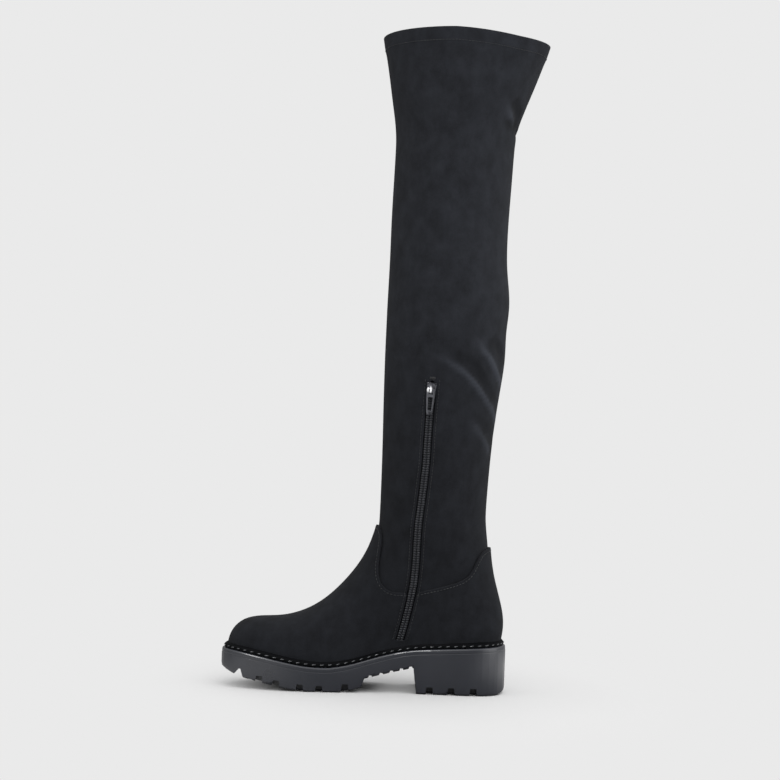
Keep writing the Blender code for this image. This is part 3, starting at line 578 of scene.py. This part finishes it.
# Rise is a ridge's height, or below zero a hollow's depth, reach its half width and path its line (x, z)
Crease = namedtuple("Crease", "rise reach path")
INNER_CREASES = (
    Crease(2.1, 3.0, ((185, 319), (200.6, 314.7), (210.8, 308.7), (221.4, 301.6), (232.2, 290.7),
                      (240.8, 278.3), (249.5, 263.2), (252, 257))),
    Crease(-1.6, 5.5, ((205, 322), (217, 317), (229, 307), (238, 295), (246, 281))),
    Crease(2.2, 3.2, ((228, 340), (235.9, 325), (241.5, 319), (247.2, 309.1), (251.8, 300.3), (255, 295.3))),
    Crease(-2.2, 5.0, ((244, 338), (250, 329), (256, 318))),
    Crease(1.3, 4.0, ((224, 262), (238, 245), (245.5, 232))),
    Crease(-1.2, 6.0, ((232, 264), (243, 248), (250, 238))),
    Crease(1.6, 3.5, ((249, 556), (254, 547), (259, 537))),
    Crease(-2.4, 5.0, ((257, 562), (261, 550), (263, 540))),
    Crease(-2.2, 5.0, ((250, 543), (257, 538), (262.5, 535.5), (267, 533), (267, 530))),
)

shaft_suede = napped_suede("napped_suede_shaft", "#17181B", "#282A2F", 13.0)
bm = merged_copy("shaft")
outer_skin(bm, max(bm.faces, key=lambda f: f.calc_center_median().y))
bm = refined(bm, 2)
TALL = 0.0032
BAND = 0.014
tall = [e for e in bm.edges if abs(e.verts[0].co.z - e.verts[1].co.z) > TALL]
bmesh.ops.subdivide_edges(bm, edges=tall, cuts=1, use_grid_fill=True)
bm.normal_update()
co = np.array([v.co for v in bm.verts])
levels = np.arange(0.08, 0.63, 0.01)
fronts = np.array([co[np.abs(co[:, 2] - z) < BAND, 0].min() for z in levels])
backs = np.array([co[np.abs(co[:, 2] - z) < BAND, 0].max() for z in levels])


def from_back(x, z):
    """Way round the leg from the line down its back, in metres, for a place seen from one side."""
    front = np.interp(z, levels, fronts)
    back = np.interp(z, levels, backs)
    across = np.clip(((front + back) / 2 - x) / ((back - front) / 2), -1.0, 1.0)
    return (math.pi - np.arccos(across)) * (back - front) / 2


def near_path(path):
    """How far each point of the leg is from a path round it, and its share of the way along that path."""
    spans = [math.hypot(b[0] - a[0], b[1] - a[1]) for a, b in zip(path, path[1:])]
    nearest = np.full(len(co), 1.0)
    passed = np.zeros(len(co))
    done = 0.0
    for a, b, span in zip(path, path[1:], spans):
        t = ((around - a[0]) * (b[0] - a[0]) + (co[:, 2] - a[1]) * (b[1] - a[1])) / span ** 2
        t = np.clip(t, 0.0, 1.0)
        away = np.hypot(around - a[0] - t * (b[0] - a[0]), co[:, 2] - a[1] - t * (b[1] - a[1]))
        closer = away < nearest
        passed = np.where(closer, (done + t * span) / sum(spans), passed)
        nearest = np.where(closer, away, nearest)
        done += span
    return nearest, passed


# The zip's side and the outer side, whose creases are lower, wider and farther down. Reach and rise turn
# the millimetres of a crease into metres
Side = namedtuple("Side", "way drop reach rise")
SIDES = (Side(-1.0, 0.0, 0.001, 0.001), Side(1.0, 0.007, 0.0014, 0.0006))
# A fold swells over the first half of its path. Its height, but not its rubbing and painted light,
# fades over the last quarter
STARTS_OVER, ENDS_OVER = 0.5, 0.25
FOLD_LIGHT_RISE, FOLD_SHADE_LEAST = 0.0018, -0.25
RIPPLE, RIPPLE_SCALE = 0.0005, 22.0
HEM_ARCH, HEM_FROM, HEM_OVER = 0.0034, 0.56, 0.06
ARCH_BACK, ARCH_OVER, HEM_HALF = 0.115, 0.06, 0.06
around = from_back(co[:, 0], co[:, 2]) * np.where(co[:, 1] < 0, -1.0, 1.0)
push = np.zeros(len(co))
fold_rub_and_light = np.zeros(len(co))
for side in SIDES:
    for crease in INNER_CREASES:
        marks = [on_boot(*p) for p in crease.path]
        path = [(side.way * float(from_back(m.x, m.z)), m.z - side.drop) for m in marks]
        nearest, passed = near_path(path)
        taper = np.clip(passed / STARTS_OVER, 0.0, 1.0)
        ending = np.clip((1.0 - passed) / ENDS_OVER, 0.0, 1.0)
        fold = crease.rise * side.rise * taper * np.exp(-(nearest / (crease.reach * side.reach)) ** 2)
        push += fold * ending
        fold_rub_and_light += fold
for v, depth in zip(bm.verts, push):
    ripple = noise.noise(Vector((v.co.x, v.co.y, v.co.z * 0.6)) * RIPPLE_SCALE) * RIPPLE
    v.co += v.normal * (depth + ripple + SKIN_OUT)
    near_hem = min(1.0, max(0.0, (v.co.z - HEM_FROM) / HEM_OVER)) ** 2
    near_front = min(1.0, max(0.0, (ARCH_BACK - v.co.x) / ARCH_OVER))
    v.co.z += HEM_ARCH * near_hem * near_front * abs(v.co.y) / HEM_HALF
leg_tree = BVHTree.FromBMesh(bm)
RIM_ABOVE, RIM_X = 0.6, 0.066
HEM_DEPTH = 0.0124
SHAFT_WALL = 0.0014
rim = sorted((v.co.copy() for v in bm.verts if v.is_boundary and v.co.z > RIM_ABOVE),
             key=lambda p: math.atan2(p.y, RIM_X - p.x))
shaft = finished("leg_shaft", bm, "boot", [shaft_suede, lining])
# Painted light on the folds: paler along ridges, partly as rubbed nap, and darker in hollows as painted shade
fold_light_values = np.clip(fold_rub_and_light / FOLD_LIGHT_RISE, FOLD_SHADE_LEAST, 1.0)
for name, values in (("rub_and_fold_light", fold_light_values), ("girth", around)):
    shaft.data.attributes.new(name, "FLOAT", "POINT").data.foreach_set("value", values)
walled(shaft, SHAFT_WALL)
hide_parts("shaft")
bm = bmesh.new()
for at, run in even_steps(rim, STITCH_PITCH, closed=True):
    hit, out, _, _ = leg_tree.find_nearest(at - Vector((0.0, 0.0, HEM_DEPTH)))
    add_bead(bm, hit + out * STITCH_OUT, run, out, STITCH)
finished("hem_topstitch", bm, "boot", [sewing])

# The zip: two woven tapes behind the slot, each with a row of nylon coil, closed up to the slider, and
# the boot's edges topstitched to the tapes on both sides with a bar of close stitches over the end.

# Woven polyester tape: a fine diagonal weave about 0.5 mm wide, drawn at about 1.4 mm, dull black.
tape, tree, output = new_material("woven_zip_tape")
where = add_node(tree, "ShaderNodeTexCoord").outputs["Object"]
weave = add_node(tree, "ShaderNodeTexWave", {"Vector": where, "Scale": 1000 / 1.2 / 3.14, "Distortion": 0.5},
                 bands_direction="DIAGONAL")
tone = toned(tree, weave.outputs["Fac"], "#141518", "#242529")
relief = bumped(tree, weave.outputs["Fac"], 0.4, 0.0002)
surfaced(tree, output, {
    "Base Color": tone.outputs["Color"], "Roughness": 0.85, "Specular IOR Level": 0.2,
    "Normal": relief.outputs[0],
})
bm = merged_copy("zip_chain")
tape_tree = BVHTree.FromBMesh(bm)
zip_tape = finished("zip_tape", bm, "boot", [tape], 40)
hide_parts("zip_chain")

# Drawn nylon monofilament, dyed dark grey: smooth and glossy, so each turn takes a small light. The turns
# are about 1.2 mm apart and are drawn 2.3 mm apart, so that they show.
nylon, tree, output = new_material("nylon_coil")
where = add_node(tree, "ShaderNodeTexCoord").outputs["Object"]
dye = add_node(tree, "ShaderNodeTexNoise", {"Vector": where, "Scale": 1000 / 6.0, "Detail": 2.0})
tone = toned(tree, dye.outputs["Fac"], "#222326", "#383A3E")
rough = add_node(tree, "ShaderNodeMapRange", {"Value": dye.outputs["Fac"], "To Min": 0.28, "To Max": 0.42})
surfaced(tree, output, {
    "Base Color": tone.outputs["Color"], "Roughness": rough.outputs[0], "IOR": 1.53,
    "Specular IOR Level": 0.2,
})
# Places (z, x) along the middle of the closed zip
ZIP_LINE = (
    (38, 165.0), (47, 167.7), (66, 172.6), (85, 176.6), (103, 179.7), (122, 181.1), (141, 181.4),
    (160, 182.0), (178, 183.9), (216, 187.2), (245, 187.9), (270, 188.9), (300, 190.4),
)
# Surfaces are felt for from this far out on the zip's side, at steps of 2 mm up the zip
BESIDE = -200.0
ZIP_STEP = 2.0


def facing_camera(tree, x, z):
    """Where a line from the zip's side meets a surface, and the way out of it there."""
    hit, out, _, _ = tree.ray_cast(on_boot(x, z, BESIDE), Vector((0.0, 1.0, 0.0)))
    return hit, out


def zip_x(z):
    """The middle of the closed zip at a height."""
    return float(np.interp(z, [p[0] for p in ZIP_LINE], [p[1] for p in ZIP_LINE]))


COIL_FROM, COIL_TO = 46.6, 286.0
COIL_STEP, COIL_OUT, COIL_LEAN = 0.0023, 0.0006, 0.12
COIL_OFF_MIDDLE = 0.00175
COIL_TURN = (0.0031, 0.0018, 0.0013)
TAPE_HALF = 7.0
middle_run = []
for z in np.arange(COIL_FROM, COIL_TO, ZIP_STEP):
    hit, out = facing_camera(tape_tree, zip_x(z), z)
    left = facing_camera(tape_tree, zip_x(z) - TAPE_HALF, z)[0]
    right = facing_camera(tape_tree, zip_x(z) + TAPE_HALF, z)[0]
    middle_run.append((hit, (right - left).normalized()))
bm = bmesh.new()
for at, run in even_steps([p for p, _ in middle_run], COIL_STEP):
    across = min(middle_run, key=lambda m: (m[0] - at).length)[1]
    out = across.cross(run).normalized()
    if out.y > 0:
        out = -out
    for way in (-1.0, 1.0):
        lean = across * way + run * COIL_LEAN
        add_bead(bm, at + across * way * COIL_OFF_MIDDLE + out * COIL_OUT, lean, out, COIL_TURN)
finished("zip_coil", bm, "boot", [nylon])

# A row of stitches this far from the zip's middle on each side, and a bar of stitches side by side on top
SLOT_SEAM = 6.6
SEAM_FROM, SEAM_TO = 50.0, 297.0
BAR_X, BAR_Z, BAR_STEP, BAR_COUNT = 187.8, 297.0, 0.6, 9
BAR_STITCH = (0.0030, 0.0007, 0.0008)
BAR_WAY = Vector((0.1, 0.0, 1.0))
bm = bmesh.new()
for way in (-1.0, 1.0):
    row = []
    for z in np.arange(SEAM_FROM, SEAM_TO, ZIP_STEP):
        hits = [facing_camera(skin, zip_x(z) + way * SLOT_SEAM, z) for skin in (foot_tree, leg_tree)]
        row.append(min((h for h in hits if h[0] is not None), key=lambda h: h[0].y))
    for at, run in even_steps([p for p, _ in row], STITCH_PITCH):
        out = min(row, key=lambda r: (r[0] - at).length)[1]
        add_bead(bm, at + out * STITCH_OUT, run, out, STITCH)
for k in range(BAR_COUNT):
    hit, out = facing_camera(leg_tree, BAR_X + BAR_STEP * k, BAR_Z)
    add_bead(bm, hit + out * THREAD_OUT, BAR_WAY, out, BAR_STITCH)
finished("zip_topstitch", bm, "boot", [sewing])

# The slider is a die-cast zinc body, and its pull a stamped plate with two windows that swings on the
# slider's bridge. Both are plated in dark nickel and tumbled, so the edges are rounded.

# Tumbled nickel: dark and softly uneven. A painted highlight, a near-white patch in the base colour,
# sits on the crown of the slider's bridge.
PAINTED_HIGHLIGHT_AT = (0.0411, -0.0565, 0.2865)
nickel, tree, output = new_material("tumbled_dark_nickel")
where = add_node(tree, "ShaderNodeTexCoord").outputs["Object"]
tumbled = add_node(tree, "ShaderNodeTexNoise", {"Vector": where, "Scale": 1000 / 2.5, "Detail": 3.0})
tone = toned(tree, tumbled.outputs["Fac"], "#3C3D41", "#6C6D72")
rough = add_node(tree, "ShaderNodeMapRange", {
    "Value": tumbled.outputs["Fac"], "To Min": 0.12, "To Max": 0.26,
})
from_painted_highlight = add_node(tree, "ShaderNodeVectorMath", {0: where, 1: PAINTED_HIGHLIGHT_AT}, operation="DISTANCE")
painted_highlight = add_node(tree, "ShaderNodeMapRange", {
    "Value": from_painted_highlight.outputs["Value"],
    "From Min": 0.0018, "From Max": 0.0042, "To Min": 1.0, "To Max": 0.0,
}, interpolation_type="SMOOTHSTEP")
plating_with_painted_highlight = add_node(tree, "ShaderNodeMix", {
    0: painted_highlight.outputs[0], 6: tone.outputs["Color"], 7: linear("#F2F2F4"),
}, data_type="RGBA")
surfaced(tree, output, {
    "Base Color": plating_with_painted_highlight.outputs[2], "Roughness": rough.outputs[0], "Metallic": 1.0,
})
for node, name, body, slot, round_mm in (
    ("zip_slider", "zip_slider_body", "boot", "slider_nickel", 0.9),
    ("zip_pull", "zip_pull_tab", "pull_tab", "pull_nickel", 0.4),
):
    piece = finished(name, merged_copy(node), body, [nickel], 40)
    rounding = piece.modifiers.new("tumbled_edges", "BEVEL")
    rounding.width = round_mm * 0.001
    rounding.segments = 3
    rounding.limit_method = "ANGLE"
    rounding.angle_limit = math.radians(30)
    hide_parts(node)
